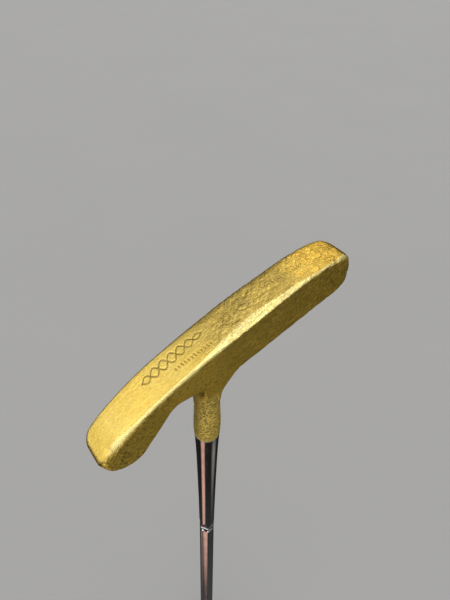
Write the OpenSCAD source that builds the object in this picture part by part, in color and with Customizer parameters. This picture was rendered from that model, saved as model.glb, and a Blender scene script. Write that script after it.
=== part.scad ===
// Centre-shafted brass blade putter, standing on its butt cap with the head up.
// Origin: centre of the butt cap's end face. +Z runs up the shaft to the head, +X points to the
// toe side, and the two striking faces look along -Y and +Y.

/* [Club] */
// Length along the shaft from the butt cap to the ground plane under the sole
club_length = 889; // [860:1:915]
// Angle between the shaft and the ground when the sole rests on it
lie_angle = 73; // [70:0.5:75]

/* [Blade] */
// Distance from the sole's lowest point to the heel end
heel_reach = 64.1; // [60:0.1:66]
// Distance from the sole's lowest point to the toe end
toe_reach = 58.6; // [56:0.1:60]
// Thickness of the blade across the sole
sole_width = 16.9; // [16:0.1:17.4]
// Slope of each striking face away from upright
face_loft = 4; // [3:0.25:4.5]
// Heel-to-toe radius of the sole between its breaks
rocker_radius = 333; // [300:5:360]
// Heel-to-toe radius of the sole from each break to its end
end_rocker_radius = 96; // [90:2:120]
// Distance of each break from the sole's lowest point
rocker_break = 28; // [24:1:32]
// Radius of the long edges between the sole and the faces
sole_edge_radius = 1.6; // [1:0.1:2]
// Corner radius of both ends on the front striking face
front_corner_radius = 3; // [2:0.25:6]
// Corner radius of both ends on the back striking face
back_corner_radius = 5; // [2:0.25:6.5]
// Height of the heel and toe lobes above the ground
lobe_height = 28.2; // [26:0.2:29]
// Radius of the heel lobe
heel_lobe_radius = 8; // [7:0.1:8]
// Height of the topline where it meets the neck on the toe side
topline_height = 22.8; // [21:0.2:24]
// Height of the notch between the heel lobe and the neck
notch_height = 13.8; // [12.5:0.1:15]

/* [Neck] */
// Distance from the sole's lowest point back to where the shaft's axis meets the ground
axis_offset = 7.9; // [6:0.1:10]
// Radius of the neck where it leaves the blade
neck_radius = 5.65; // [5.5:0.05:6]
// Radius of the barrel around the bore
barrel_radius = 6.3; // [6.2:0.05:6.8]
// Radius of the neck at its rim
rim_radius = 6.1; // [5.9:0.05:6.2]
// Distance along the shaft's axis from the ground to the rim
rim_distance = 68; // [66:1:74]
// Depth of the bore in the neck
bore_depth = 27; // [24:0.5:28]
// Radius of the bore
bore_radius = 4.85; // [4.8:0.01:4.9]

/* [Shaft] */
// Outside radius of the parallel butt section
butt_radius = 7.365; // [7.2:0.005:7.6]
// Outside radius at the narrow end of the flutes
waist_radius = 4.85; // [4.6:0.05:5.2]
// Outside radius of the flare where it meets the neck's rim
flare_radius = 6; // [5.8:0.05:6.05]
// Outside radius of the tip glued into the neck
tip_radius = 4.7; // [4.6:0.01:4.75]
// Length of the tip glued into the neck
tip_length = 25; // [18:1:25]
// Wall thickness of the steel tube
tube_wall = 0.6; // [0.5:0.05:0.8]
// Distance from the rim to where the flutes start
smooth_length = 122; // [90:1:130]
// Number of flutes
flute_count = 6; // [5:1:7]
// Angle round the shaft from the toe side to the middle of the nearest flute
flute_phase = 35; // [0:1:60]

/* [Grip] */
// Length of the leather from the butt cap to its lower end
leather_length = 258; // [240:1:270]
// Thickness of the leather strip
leather_thickness = 1.5; // [1.2:0.1:1.8]
// Thickness of the tape between the shaft and the underlisting
tape_thickness = 0.15; // [0.1:0.05:0.2]
// Thickness of the butt cap's flange
cap_thickness = 5; // [4:0.5:6]

/* [Hidden] */
$fn = 96;

brass = [0.72, 0.58, 0.22];
chrome = [0.75, 0.76, 0.78];
leather = [0.16, 0.1, 0.07];
rubber = [0.08, 0.08, 0.08];
cork = [0.72, 0.55, 0.36];

// Blade
slope = tan(face_loft);
corner_steps = 8;
lobe_length = 12.7;
notch_x = -31.4;
notch_radius = 6;
notch_sharpness = 1.4;
neck_side_start = 22;
web_heel_x = -30.5;
web_toe_x = 8;
web_cone_growth = 15;
web_inset = 0.3;
sole_end_radius = 4.5;
sole_end_run = 25;
toe_top = [57.3, 28.6, 4];
toe_bulge = [59, 17, 14];
toe_undercut = 2.4;
toe_fillet_radius = 13;
neck_fillet_radius = 6;
blade_above = 60;
margin = 4;

// Neck, by distance from the ground along the shaft's axis
barrel_start = 40;
barrel_middle = 61;
flare_top = 41;
flare_reach = 20;
root_distance = 12;
rim_edge = 0.7;
rim_z = club_length - rim_distance;
bore_end_z = rim_z + bore_depth;

// Shaft, by height above the butt
butt_end_z = cap_thickness;
collar_top_z = leather_length + 14;
parallel_end_z = collar_top_z + 45;
flute_low_z = parallel_end_z + 20;
flute_high_z = rim_z - smooth_length;
tip_z = rim_z + tip_length;
flare_power = 2.2;
lip_power = 14;
lip_height = 0.42;
flare_steps = 10;
shoulder_length = 4;
flute_half_angle = 150 / flute_count;
flute_depth_share = 0.14;
run_out_angle = 5;
run_out_length = 30;

// Grip stations from the butt to the mouth: height, flat, back, half width, corner radius, back radius
mouth_radius = 9.6;
grip_stations = [[cap_thickness, 12.2, 17.8, 12.4, 5, 11.9],
                 [60, 11.8, 14.8, 12, 5, 11.5],
                 [150, 11.2, 12, 11.2, 6, 10.7],
                 [leather_length, mouth_radius, mouth_radius, mouth_radius, mouth_radius, mouth_radius]];
layer = 0.01;
lip_radius = 8;
lip_length = 6;
binding_gap = 0.35;
binding_width = 7;
binding_thickness = 0.3;
tack_radius = 1.1;
tack_length = 24;
tack_point = 3;
tack_head_radius = 3.6;
tack_head_depth = 1;
plug_length = 32;

// Height above the ground of a circle of radius r at distance x from its lowest point
function sagitta(r, x) = r - sqrt(r * r - x * x);

// Centre of the sole's arc at one end, which meets the middle arc tangentially at the break
end_share = end_rocker_radius / rocker_radius;
end_rocker_x = rocker_break * (1 - end_share);
end_rocker_z = rocker_radius - sqrt(pow(rocker_radius, 2) - pow(rocker_break, 2)) * (1 - end_share);

// Height of the curved sole at distance x from its lowest point, beyond the break
function sole_height(x) = end_rocker_z - sqrt(pow(end_rocker_radius, 2) - pow(x - end_rocker_x, 2));

// Corner where an end at distance x meets the sole, and a point on the sole's tangent there
function sole_corner(x, side) = [side * x, sole_height(x), sole_end_radius];
function sole_tangent(x, side) =
    let (lean = asin((x - end_rocker_x) / end_rocker_radius))
    [side * (x - sole_end_run), sole_height(x) - sole_end_run * tan(lean), 0];

// Point at distance s along the shaft's axis and d to its toe side, in the head's own frame
function beside_axis(s, d) = [-axis_offset - s * cos(lie_angle) + d * sin(lie_angle),
                              s * sin(lie_angle) + d * cos(lie_angle)];

function unit(v) = v / norm(v);

// Points of the arc of radius r that rounds corner b of the path a, b, c
function corner_arc(a, b, c, r) =
    let (u = unit(a - b), v = unit(c - b), half = acos(u * v) / 2)
    let (centre = b + unit(u + v) * r / sin(half))
    let (p = b + u * r / tan(half) - centre, q = b + v * r / tan(half) - centre)
    let (from = atan2(p.y, p.x), turn = atan2(p.x * q.y - p.y * q.x, p * q))
    [for (i = [0:corner_steps])
        centre + r * [cos(from + turn * i / corner_steps), sin(from + turn * i / corner_steps)]];

// Closed outline through corners given as [x, y, radius]
function rounded(path) =
    let (n = len(path), at = function (i) [path[i % n].x, path[i % n].y])
    [for (i = [0:n - 1]) each path[i].z == 0 ? [at(i)]
        : corner_arc(at(i + n - 1), at(i), at(i + 1), path[i].z)];

// Outline of the blade seen on a striking face: x towards the toe, y up from the ground
neck_side = beside_axis(neck_side_start, -neck_radius);
topline_start = beside_axis(topline_height / sin(lie_angle), 0);
toe_low = toe_reach - toe_undercut;
face_outline = rounded([
    sole_corner(heel_reach, -1),
    [-heel_reach, lobe_height, heel_lobe_radius],
    [-heel_reach + lobe_length, lobe_height, heel_lobe_radius],
    [notch_x, notch_height - notch_sharpness, notch_radius],
    [neck_side.x + 2, neck_side.y, 0],
    [topline_start.x, topline_height, 0],
    toe_top,
    toe_bulge,
    sole_corner(toe_low, 1),
    sole_tangent(toe_low, 1),
    [0, -margin - 2, 0],
    sole_tangent(heel_reach, -1)]);

// Web between the topline and the neck, with a fillet on each side
toe_side = beside_axis((topline_height - neck_radius * cos(lie_angle)) / sin(lie_angle), neck_radius);
web_left_top = beside_axis(flare_top, -neck_radius);
web_right_top = beside_axis(flare_top, neck_radius);
web_outline = concat(
    [[web_heel_x, notch_height - margin], [web_heel_x, notch_height]],
    corner_arc([web_heel_x, notch_height], neck_side, web_left_top, neck_fillet_radius),
    [web_left_top, web_right_top],
    corner_arc(web_right_top, toe_side, [toe_reach, topline_height], toe_fillet_radius),
    [[web_toe_x, topline_height], [web_toe_x, notch_height - margin]]);

// Radius of the neck at distance s from the ground: a parallel root, then a barrel that closes to the rim
function neck_profile(s) =
    s < barrel_start ? neck_radius
    : s < barrel_middle ? neck_radius
        + (barrel_radius - neck_radius) * (1 - cos(180 * (s - barrel_start) / (barrel_middle - barrel_start))) / 2
    : rim_radius + (barrel_radius - rim_radius) * cos(90 * (s - barrel_middle) / (rim_distance - barrel_middle));

// Outside radius of the shaft's flare, from the flutes (t = 0) to the rim (t = 1)
function flare_profile(t) = waist_radius + lip_height * pow(t, lip_power)
    + (flare_radius - lip_height - waist_radius) * pow(t, flare_power);

// Moves the head from its own frame, sole down, onto the upper end of the shaft
module on_shaft() {
    translate([0, 0, club_length]) rotate([0, lie_angle - 90, 0]) rotate([180, 0, 0])
        translate([axis_offset, 0, 0]) children();
}

// Both striking faces as planes that lean in towards the topline
module face_wedge() {
    half = sole_width / 2;
    rotate([90, 0, 90]) linear_extrude(height = 160, center = true)
        polygon([[-half - margin * slope, -margin], [half + margin * slope, -margin],
                 [half - blade_above * slope, blade_above], [-half + blade_above * slope, blade_above]]);
}

// Ring around [x, z] whose outer surface is a sole of radius r, with rounded edges along both faces
module sole_ring(x, z, r) {
    inner = r - blade_above;
    translate([x, 0, z]) rotate([90, 0, 0]) rotate_extrude($fn = 200)
        polygon(rounded([[inner, -sole_width / 2, 0], [r, -sole_width / 2, sole_edge_radius],
                         [r, sole_width / 2, sole_edge_radius], [inner, sole_width / 2, 0]]));
}

// Half-space beyond the plane through one break and both arcs' centres
module beyond_break(side) {
    reach = 150;
    lean = asin(rocker_break / rocker_radius);
    translate([side * rocker_break, 0, sagitta(rocker_radius, rocker_break)]) rotate([0, -side * lean, 0])
        translate([side * reach / 2, 0, 0]) cube([reach, 60, reach], center = true);
}

// Curved sole of three tangent arcs
module sole_arcs() {
    difference() {
        sole_ring(0, rocker_radius, rocker_radius);
        beyond_break(-1);
        beyond_break(1);
    }
    for (side = [-1, 1]) intersection() {
        sole_ring(side * end_rocker_x, end_rocker_z, end_rocker_radius);
        beyond_break(side);
    }
}

// Vertical prism that rounds the four corners seen on the sole
module end_corners() {
    half = sole_width / 2;
    toe_end = toe_bulge.x + 0.2;
    translate([0, 0, -margin]) linear_extrude(height = blade_above + margin)
        polygon(rounded([[-heel_reach, -half, back_corner_radius], [toe_end, -half, back_corner_radius],
                         [toe_end, half, front_corner_radius],
                         [-heel_reach, half, front_corner_radius]]));
}

module blade() {
    intersection() {
        rotate([90, 0, 0]) linear_extrude(height = sole_width + margin, center = true)
            polygon(face_outline);
        face_wedge();
        sole_arcs();
        end_corners();
    }
}

// Radius of the cone that trims the web at distance s from the ground
function web_cone(s) = neck_radius - web_inset + web_cone_growth * pow((flare_top - s) / flare_reach, 2);

// Web that carries the blade into the neck
module web() {
    flare_start = flare_top - flare_reach;
    intersection() {
        rotate([90, 0, 0]) linear_extrude(height = sole_width + margin, center = true)
            polygon(web_outline);
        face_wedge();
        along_axis() rotate_extrude()
            polygon([[0, 0], [blade_above, 0], [blade_above, flare_start],
                     for (s = [flare_start:flare_reach / 6:flare_top]) [web_cone(s), s],
                     [0, flare_top]]);
    }
}

// Places a solid built along +Z on the shaft's axis in the head's frame
module along_axis() {
    translate([-axis_offset, 0, 0]) rotate([0, lie_angle - 90, 0]) children();
}

module neck() {
    along_axis() rotate_extrude()
        polygon(concat([[0, root_distance], [neck_radius, root_distance]],
            [for (s = [barrel_start:2:rim_distance - 2 * rim_edge]) [neck_profile(s), s]],
            [[rim_radius, rim_distance - rim_edge], [rim_radius - rim_edge / 3, rim_distance],
             [0, rim_distance]]));
}

// Cast brass head: blade, web and neck in one piece, with the bore for the shaft's tip
module head() {
    color(brass) on_shaft() difference() {
        union() {
            blade();
            web();
            neck();
        }
        along_axis() translate([0, 0, rim_distance - bore_depth])
            cylinder(r = bore_radius, h = bore_depth + 1);
    }
}

// Outer profile of the tube as [radius, height], grown by a distance
function tube_profile(grow) = concat(
    [[butt_radius + grow, butt_end_z], [butt_radius + grow, parallel_end_z]],
    [for (i = [0:flare_steps]) let (t = i / flare_steps)
        [flare_profile(t) + grow, flute_high_z + smooth_length * t]]);

// Radius of the plain taper at a height between the parallel section and the flutes' upper end
function taper_radius(z) = butt_radius
    + (waist_radius - butt_radius) * (z - parallel_end_z) / (flute_high_z - parallel_end_z);

// One cutter for a flute of the tapered tube: a long cone that leans with the taper, and at each
// end a cylinder that leans out so that the flute fades away
module flute_cutter(grow) {
    low = taper_radius(flute_low_z);
    high = taper_radius(flute_high_z);
    bottom = 1 - flute_depth_share;
    chord = cos(flute_half_angle);
    share = (pow(sin(flute_half_angle), 2) + pow(chord - bottom, 2)) / (2 * (chord - bottom));
    reach = bottom + share;
    lean = atan((low - high) * reach / (flute_high_z - flute_low_z));
    translate([low * reach, 0, flute_low_z]) rotate([0, -lean, 0]) {
        cylinder(r1 = low * share + grow, r2 = high * share + grow, h = flute_high_z - flute_low_z);
        rotate([0, 180 - run_out_angle, 0]) cylinder(r = low * share + grow, h = run_out_length);
        translate([0, 0, flute_high_z - flute_low_z]) rotate([0, run_out_angle, 0])
            cylinder(r = high * share + grow, h = run_out_length);
    }
}

// Solid bar with the tube's flutes, shrunk by a wall thickness for the inside
module fluted_bar(inset) {
    difference() {
        rotate_extrude() polygon(concat([[0, butt_end_z]], tube_profile(-inset), [[0, rim_z]]));
        for (i = [0:flute_count - 1]) rotate([0, 0, flute_phase + 360 * i / flute_count])
            flute_cutter(inset);
    }
}

// Chromed steel tube: parallel butt, fluted taper, plain flare and the tip glued into the neck
module shaft() {
    inner_tip = tip_radius - tube_wall;
    color(chrome) difference() {
        union() {
            fluted_bar(0);
            translate([0, 0, rim_z - 1]) cylinder(r = tip_radius, h = tip_length + 1);
        }
        difference() {
            fluted_bar(tube_wall);
            translate([0, 0, rim_z - shoulder_length])
                cylinder(r = flare_radius + 1, h = shoulder_length + 1);
        }
        translate([0, 0, rim_z - shoulder_length - 1])
            cylinder(r = inner_tip, h = tip_length + shoulder_length + 2);
        cylinder(r = butt_radius - tube_wall, h = butt_end_z + 1);
    }
}

// Epoxy that fills the gap around the tip and the space beyond its end
module hosel_adhesive() {
    start_z = rim_z + 1;
    color([0.8, 0.76, 0.6]) difference() {
        translate([0, 0, start_z]) cylinder(r = bore_radius, h = bore_end_z - start_z);
        translate([0, 0, start_z - 1]) cylinder(r = tip_radius, h = tip_z - start_z + 1);
    }
}

// Cork that closes the tip of the tube against the adhesive
module tip_plug() {
    plug_length = 12;
    color(cork) translate([0, 0, tip_z - plug_length])
        cylinder(r = tip_radius - tube_wall, h = plug_length);
}

// Thin layer of the grip's rounded D section at a station, shrunk by an inset, standing on height z
module grip_layer(station, inset, z) {
    half = station[3];
    corner = station[4];
    back = station[5];
    translate([0, 0, z]) {
        for (side = [-1, 1]) translate([station[1] - corner, side * (half - corner), 0])
            cylinder(r = corner - inset, h = layer, $fn = 32);
        translate([back - station[2], 0, 0]) cylinder(r = back - inset, h = layer, $fn = 48);
    }
}

// The whole grip's shape at an inset from the leather's outside
module grip_shape(inset) {
    for (i = [0:len(grip_stations) - 2]) hull() {
        grip_layer(grip_stations[i], inset, grip_stations[i][0]);
        grip_layer(grip_stations[i + 1], inset, grip_stations[i + 1][0] - layer);
    }
}

// Leather strip wound in a spiral over the underlisting
module leather_wrap() {
    color(leather) difference() {
        grip_shape(0);
        grip_shape(leather_thickness);
    }
}

// Moulded rubber sleeve that gives the grip its pistol shape
module underlisting() {
    color(rubber) difference() {
        union() {
            grip_shape(leather_thickness);
            translate([0, 0, leather_length]) cylinder(r = lip_radius, h = lip_length);
        }
        cylinder(r = butt_radius + tape_thickness, h = leather_length + lip_length + 1);
    }
}

// Double-sided tape wound on the butt of the shaft
module grip_tape() {
    color([0.85, 0.83, 0.78]) difference() {
        translate([0, 0, butt_end_z])
            cylinder(r = butt_radius + tape_thickness, h = leather_length + lip_length - butt_end_z);
        cylinder(r = butt_radius, h = leather_length + lip_length + 1);
    }
}

// Thin tape that binds the mouth of the leather
module binding_tape() {
    inner = mouth_radius + binding_gap;
    color([0.1, 0.1, 0.11]) translate([0, 0, leather_length - binding_width]) difference() {
        cylinder(r = inner + binding_thickness, h = binding_width);
        translate([0, 0, -1]) cylinder(r = inner, h = binding_width + 2);
    }
}

// Rubber collar over the mouth of the grip
module grip_collar() {
    inner = mouth_radius + binding_gap + binding_thickness;
    low = leather_length - binding_width - 3;
    color(rubber) rotate_extrude() polygon([
        [inner, low], [inner + 0.7, low + 0.3], [inner + 1, low + 2], [inner + 0.8, low + 8],
        [inner - 0.1, low + 16], [butt_radius + 1, collar_top_z - 0.6],
        [butt_radius + 0.4, collar_top_z], [butt_radius, collar_top_z],
        [butt_radius, leather_length + lip_length], [lip_radius, leather_length + lip_length],
        [lip_radius, leather_length], [inner, leather_length]]);
}

// Plastic cap under the grip, with a seat for its tack's flush head
module butt_cap() {
    color([0.06, 0.06, 0.07]) difference() {
        hull() {
            grip_layer(grip_stations[0], 0, cap_thickness - layer);
            grip_layer(grip_stations[0], 0, 1);
            grip_layer(grip_stations[0], 1, 0);
        }
        translate([0, 0, -1]) cylinder(r = tack_radius, h = cap_thickness + 2);
        translate([0, 0, -1]) cylinder(r = tack_head_radius, h = tack_head_depth + 1);
    }
}

// Wooden plug in the butt of the tube that takes the cap's tack
module butt_plug() {
    color(cork) translate([0, 0, butt_end_z]) difference() {
        cylinder(r = butt_radius - tube_wall, h = plug_length);
        translate([0, 0, -1]) cylinder(r = tack_radius, h = tack_length - butt_end_z + 1);
    }
}

// Flat-headed tack through the cap into the plug
module cap_tack() {
    color(chrome) rotate_extrude() polygon([
        [0, 0], [tack_head_radius, 0], [tack_head_radius, tack_head_depth], [tack_radius, tack_head_depth],
        [tack_radius, tack_length - tack_point], [0, tack_length]]);
}

head();
shaft();
hosel_adhesive();
tip_plug();
grip_tape();
underlisting();
leather_wrap();
binding_tape();
grip_collar();
butt_cap();
butt_plug();
cap_tack();
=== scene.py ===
"""Looks of a centre-shafted brass blade putter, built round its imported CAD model."""

import math

import bpy
import numpy as np
from mathutils import Matrix, Vector


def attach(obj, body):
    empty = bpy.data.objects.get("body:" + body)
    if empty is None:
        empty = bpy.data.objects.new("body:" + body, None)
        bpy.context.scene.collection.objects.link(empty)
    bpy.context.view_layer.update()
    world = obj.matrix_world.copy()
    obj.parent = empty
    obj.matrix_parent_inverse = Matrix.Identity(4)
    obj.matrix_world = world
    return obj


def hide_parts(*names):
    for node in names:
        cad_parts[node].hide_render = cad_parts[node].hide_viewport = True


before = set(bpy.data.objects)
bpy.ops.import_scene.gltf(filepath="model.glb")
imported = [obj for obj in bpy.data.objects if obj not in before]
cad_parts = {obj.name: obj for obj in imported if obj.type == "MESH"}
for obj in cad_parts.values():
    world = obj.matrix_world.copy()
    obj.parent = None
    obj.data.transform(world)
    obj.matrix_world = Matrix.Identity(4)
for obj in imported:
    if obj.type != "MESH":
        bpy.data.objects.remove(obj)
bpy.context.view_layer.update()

MM = 0.001

# The club, as in the CAD model. Heights run up the shaft from the butt.
GROUND = 889 * MM  # where the shaft's axis meets the ground plane under the sole
LIE = math.radians(73)
AXIS_OFFSET = 7.9 * MM  # from there to the sole's lowest point
HEEL, TOE = 64.1 * MM, 58.6 * MM  # from the lowest point to each end
SOLE_WIDTH = 16.9 * MM
FACE_SLOPE = math.tan(math.radians(4))
# Radii of the sole's middle and ends, and how far from the lowest point they meet.
ROCKER, END_ROCKER, ROCKER_BREAK = 333 * MM, 96 * MM, 28 * MM
LOBE_HEIGHT, TOPLINE, NOTCH = 28.2 * MM, 22.8 * MM, 13.8 * MM
NECK_RADIUS, BARREL_RADIUS, RIM_RADIUS = 5.65 * MM, 6.3 * MM, 6.1 * MM
RIM = 68 * MM  # along the axis from the ground plane
EDGE = 1.15 * MM  # usual radius of the blade's long edges
SOLE_CROWN = 0.42 * MM  # how far the sole's long edges stand above its middle line
FRONT_ROLL, BACK_ROLL, ROLL_BEND = 0.16, 0.14, 0.4 * MM  # slopes of its worn edges, and their bend
FRONT_CORNER, BACK_CORNER = 3 * MM, 5 * MM  # radii of the blade's upright corners
END_REACH, END_FADE = 10 * MM, 8 * MM  # how far from the end they begin, and how soon they are full
WEB_TOP, WELD = 41 * MM, 1.2 * MM  # the web's upper end along the axis, and its blend into the neck
BUTT_RADIUS, WAIST_RADIUS, FLARE_RADIUS = 7.365 * MM, 4.85 * MM, 6.0 * MM
TIP_RADIUS, TIP_LENGTH, SMOOTH_LENGTH = 4.7 * MM, 25 * MM, 122 * MM
TUBE_WALL = 0.6 * MM
PARALLEL_END, FLUTE_LOW, FLUTE_HIGH = 317 * MM, 337 * MM, 699 * MM
FLUTES, FLUTE_PHASE, FLUTE_HALF = 6, math.radians(35), math.radians(25)
FLUTE_BOTTOM = 0.86  # radius at the bottom of a flute, as a share of the tube's
FLUTE_LEAN = math.radians(5)  # slope at which a flute's ends run out
GRIP_LOW, GRIP_HIGH = 5 * MM, 258 * MM
GRIP_HEIGHTS = np.array([5, 60, 150, 258]) * MM
# Reach to the flat front and to the back, half width, front corner radius and back radius.
GRIP_SECTIONS = MM * np.array(
    [
        (12.2, 17.8, 12.4, 5, 11.9),
        (11.8, 14.8, 12, 5, 11.5),
        (11.2, 12, 11.2, 6, 10.7),
        (9.6, 9.6, 9.6, 9.6, 9.6),
    ]
)
# The leather strip: its pitch along the grip, its thickness, and the length of one turn in mm.
STRIP_PITCH, STRIP_THICKNESS, STRIP_TURN = 21 * MM, 1.45 * MM, 75

# The room's brightness by height of the direction, from straight down to straight up.
SKY = (
    (-1.0, (0.07, 0.07, 0.07)),
    (-0.93, (0.018, 0.017, 0.015)),
    (-0.85, (0.014, 0.012, 0.010)),
    (-0.18, (0.03, 0.03, 0.03)),
    (-0.03, (0.16, 0.16, 0.16)),
    (0.2, (0.42, 0.42, 0.42)),
    (0.5, (0.60, 0.60, 0.60)),
    (0.86, (0.66, 0.66, 0.66)),
    (1.0, (0.85, 0.85, 0.85)),
)
# Soft patches: azimuth, elevation, inner and outer radius in degrees, and colour.
PATCHES = (
    (148, 18, 22, 50, (0.78, 0.78, 0.80)),
    (217, 30, 16, 50, (0.72, 0.72, 0.71)),
    (275, 74, 14, 27, (1.40, 1.40, 1.40)),
    (38, 40, 5, 24, (1.45, 1.42, 1.34)),
    (310, -51, 6, 22, (0.43, 0.42, 0.36)),
    (233, -44, 8, 19, (2.80, 2.74, 2.55)),
    (188, -69, 3, 10, (0.84, 0.46, 0.35)),
)
FLOOR_TONES = ((0.326, 0.324, 0.320), (0.344, 0.340, 0.334))
BACKDROP = (0.375, 0.375, 0.375)

HEAD_AXIS = np.array([-math.cos(LIE), 0, math.sin(LIE)])  # shaft's direction in the head's frame


# -------------------- numbers and shapes


def smoothstep(low, high, x):
    t = np.clip((x - low) / (high - low), 0, 1)
    return t * t * (3 - 2 * t)


def mix(a, b, t):
    return a + (b - a) * t


def lattice_hash(i, j, k, seed):
    """Repeatable value from 0 to 1 for each lattice point."""
    h = i * 374761393 + j * 668265263 + k * 2147483647 + seed * 974634777
    h = (h ^ (h >> 13)) * 1274126177
    h = (h ^ (h >> 16)) & 0xFFFFFF
    return h / float(0xFFFFFF)


def noise(points, size, seed):
    """Smooth noise from -1 to 1 whose bumps are about size across."""
    q = points / size
    cell = np.floor(q).astype(np.int64)
    f = q - cell
    f = f * f * (3 - 2 * f)
    total = 0
    for corner in range(8):
        offset = (corner & 1, corner >> 1 & 1, corner >> 2)
        weight = math.prod(f[:, i] if on else 1 - f[:, i] for i, on in enumerate(offset))
        total = total + weight * lattice_hash(*(cell + offset).T, seed)
    return 2 * total - 1


def round_max(a, b, r):
    """Intersection of two distances, with an edge of radius r."""
    outside = np.hypot(np.maximum(a + r, 0), np.maximum(b + r, 0))
    return np.minimum(np.maximum(a, b) + r, 0) + outside - r


def smooth_min(a, b, k):
    """Union of two distances, with a blend about k wide."""
    h = np.clip(0.5 + 0.5 * (b - a) / k, 0, 1)
    return mix(b, a, h) - k * h * (1 - h)


def corner_arc(a, b, c, r, steps=14):
    """Points of the arc of radius r that rounds corner b of the path a, b, c."""
    a, b, c = (np.array(p[:2], float) for p in (a, b, c))
    u, v = (a - b) / np.linalg.norm(a - b), (c - b) / np.linalg.norm(c - b)
    half = math.acos(np.clip(u @ v, -1, 1)) / 2
    centre = b + (u + v) / np.linalg.norm(u + v) * r / math.sin(half)
    p, q = b + u * r / math.tan(half) - centre, b + v * r / math.tan(half) - centre
    start = math.atan2(p[1], p[0])
    turn = math.atan2(p[0] * q[1] - p[1] * q[0], p @ q)
    angles = start + turn * np.linspace(0, 1, steps + 1)
    return [tuple(centre + r * np.array([math.cos(t), math.sin(t)])) for t in angles]


def rounded(path):
    """Closed outline through corners given as (x, z, radius)."""
    points = []
    for i, corner in enumerate(path):
        if corner[2] == 0:
            points.append(corner[:2])
        else:
            points += corner_arc(path[i - 1], corner, path[(i + 1) % len(path)], corner[2])
    return np.array(points)


def outline_distance(x, z, outline):
    """Signed distance to a closed outline, negative inside."""
    nearest = np.full(x.shape, np.inf)
    inside = np.zeros(x.shape, bool)
    for (ax, az), (bx, bz) in zip(outline, np.roll(outline, -1, 0)):
        ex, ez = bx - ax, bz - az
        t = np.clip(((x - ax) * ex + (z - az) * ez) / (ex * ex + ez * ez), 0, 1)
        nearest = np.minimum(nearest, (x - ax - t * ex) ** 2 + (z - az - t * ez) ** 2)
        if bz != az:
            inside ^= ((az > z) != (bz > z)) & (x < ex * (z - az) / ez + ax)
    return np.where(inside, -1, 1) * np.sqrt(nearest)


def all_round(count):
    """Equally spaced angles of one full turn."""
    return np.linspace(0, 2 * np.pi, count, endpoint=False)


def path_distance(x, y, path):
    """Distance to an open path."""
    nearest = np.full(x.shape, np.inf)
    for (ax, ay), (bx, by) in zip(path[:-1], path[1:]):
        ex, ey = bx - ax, by - ay
        t = np.clip(((x - ax) * ex + (y - ay) * ey) / (ex * ex + ey * ey), 0, 1)
        nearest = np.minimum(nearest, (x - ax - t * ex) ** 2 + (y - ay - t * ey) ** 2)
    return np.sqrt(nearest)


def beside_axis(s, d):
    """Point at distance s along the shaft's axis and d to its toe side, in the head's frame."""
    return (
        -AXIS_OFFSET - s * math.cos(LIE) + d * math.sin(LIE),
        s * math.sin(LIE) + d * math.cos(LIE),
    )


# -------------------- the head's shape

DEEP = 12 * MM  # how far the outlines run below the sole, which trims them
notch_rise = beside_axis(22.7 * MM, -NECK_RADIUS)
topline_start = beside_axis(TOPLINE / math.sin(LIE), 0)
BLADE = rounded(
    [
        (-HEEL, -DEEP, 0),
        (-HEEL, LOBE_HEIGHT, 8 * MM),
        (-HEEL + 12.7 * MM, LOBE_HEIGHT, 8 * MM),
        (-31.4 * MM, NOTCH - 1.4 * MM, 6 * MM),
        (notch_rise[0] + 2 * MM, notch_rise[1], 0),
        (topline_start[0], TOPLINE, 0),
        (57.3 * MM, 28.6 * MM, 4 * MM),
        (59 * MM, 17 * MM, 14 * MM),
        (54.1 * MM, -DEEP, 0),
    ]
)
web_left = beside_axis(WEB_TOP, -NECK_RADIUS)
web_right = beside_axis(WEB_TOP, NECK_RADIUS)
web_root = ((TOPLINE - NECK_RADIUS * math.cos(LIE)) / math.sin(LIE), NECK_RADIUS)
WEB = np.array(
    [(-30.5 * MM, 8 * MM), (-30.5 * MM, NOTCH)]
    + corner_arc((-30.5 * MM, NOTCH), beside_axis(21.5 * MM, -NECK_RADIUS), web_left, 6 * MM)
    + [web_left, web_right]
    + corner_arc(web_right, beside_axis(*web_root), (TOE, TOPLINE + 4 * MM), 13 * MM)
    + [(10 * MM, TOPLINE), (10 * MM, 8 * MM)]
)


def sole_distance(x, z):
    """Signed distance to the curved sole of three tangent arcs, negative above it."""
    share = END_ROCKER / ROCKER
    end_x = ROCKER_BREAK * (1 - share)
    end_z = ROCKER - math.sqrt(ROCKER**2 - ROCKER_BREAK**2) * (1 - share)
    middle = np.hypot(x, z - ROCKER) - ROCKER
    end = np.hypot(np.abs(x) - end_x, z - end_z) - END_ROCKER
    beyond = np.abs(x) * math.sqrt(ROCKER**2 - ROCKER_BREAK**2) > ROCKER_BREAK * (ROCKER - z)
    return np.where(beyond, end, middle)


def neck_profile(s):
    """Radius of the neck, which swells into the barrel and draws in again at the rim."""
    low, swell, widest = 40 * MM, 21 * MM, 61 * MM
    rise = (1 - np.cos(np.pi * np.clip((s - low) / swell, 0, 1))) / 2
    fall = 1 - np.cos(np.pi / 2 * np.clip((s - widest) / (RIM - widest), 0, 1))
    return NECK_RADIUS + (BARREL_RADIUS - NECK_RADIUS) * rise - (BARREL_RADIUS - RIM_RADIUS) * fall


def axis_place(p):
    """Distance along the shaft's axis from the ground plane, and distance from it."""
    v = p - np.array([-AXIS_OFFSET, 0, 0])
    s = v @ HEAD_AXIS
    return s, np.linalg.norm(v - s[:, None] * HEAD_AXIS, axis=1)


def neck_share(s, radial):
    """1 on the neck, fading to 0 on the blade and the web."""
    return smoothstep(27 * MM, 36 * MM, s) * (1 - smoothstep(8 * MM, 12 * MM, radial))


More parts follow.
